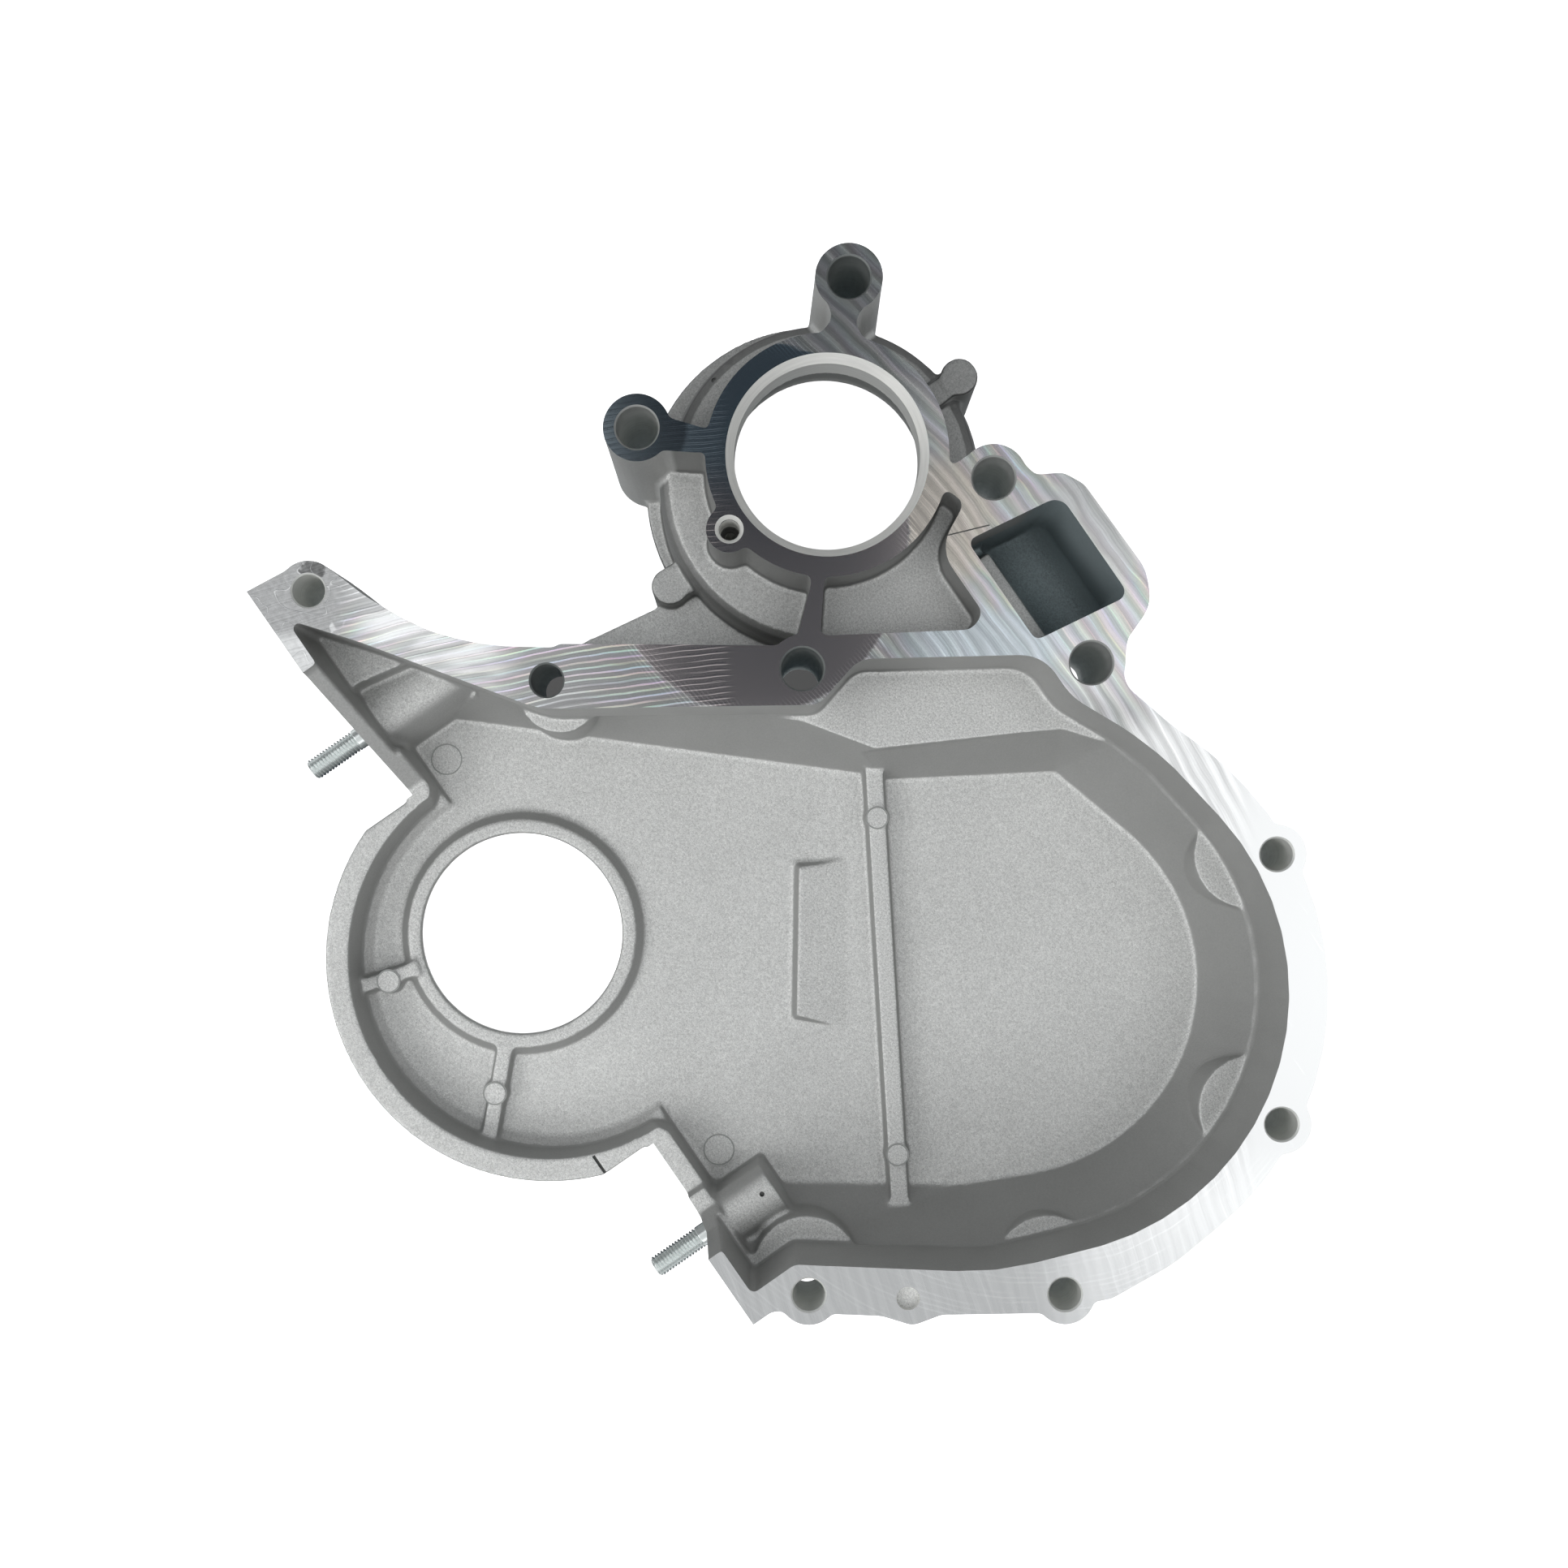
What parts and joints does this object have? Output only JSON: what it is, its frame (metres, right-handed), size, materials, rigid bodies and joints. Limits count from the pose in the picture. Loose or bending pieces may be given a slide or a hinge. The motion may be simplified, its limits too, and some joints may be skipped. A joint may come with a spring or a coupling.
{
  "type": "timing cover",
  "caption": "Die-cast engine timing cover: open chain case with a milled gasket face, crank-seal end, water-pump body and studs in the sump face.",
  "frame": {"origin": "crank axis where it meets the front plane of the cover", "axes": "+X along the sump face, +Y engine up, +Z out of the gasket face towards the engine block"},
  "size_m": [0.2316, 0.2086, 0.042],
  "materials": {
    "cast_aluminium": "matte as cast, milled bright on the gasket face",
    "zinc_plate": "bright zinc plate"
  },
  "bodies": {
    "root": {"cover_casting": "cast_aluminium", "sump_stud_left": "zinc_plate", "sump_stud_right": "zinc_plate"}
  },
  "joints": []
}
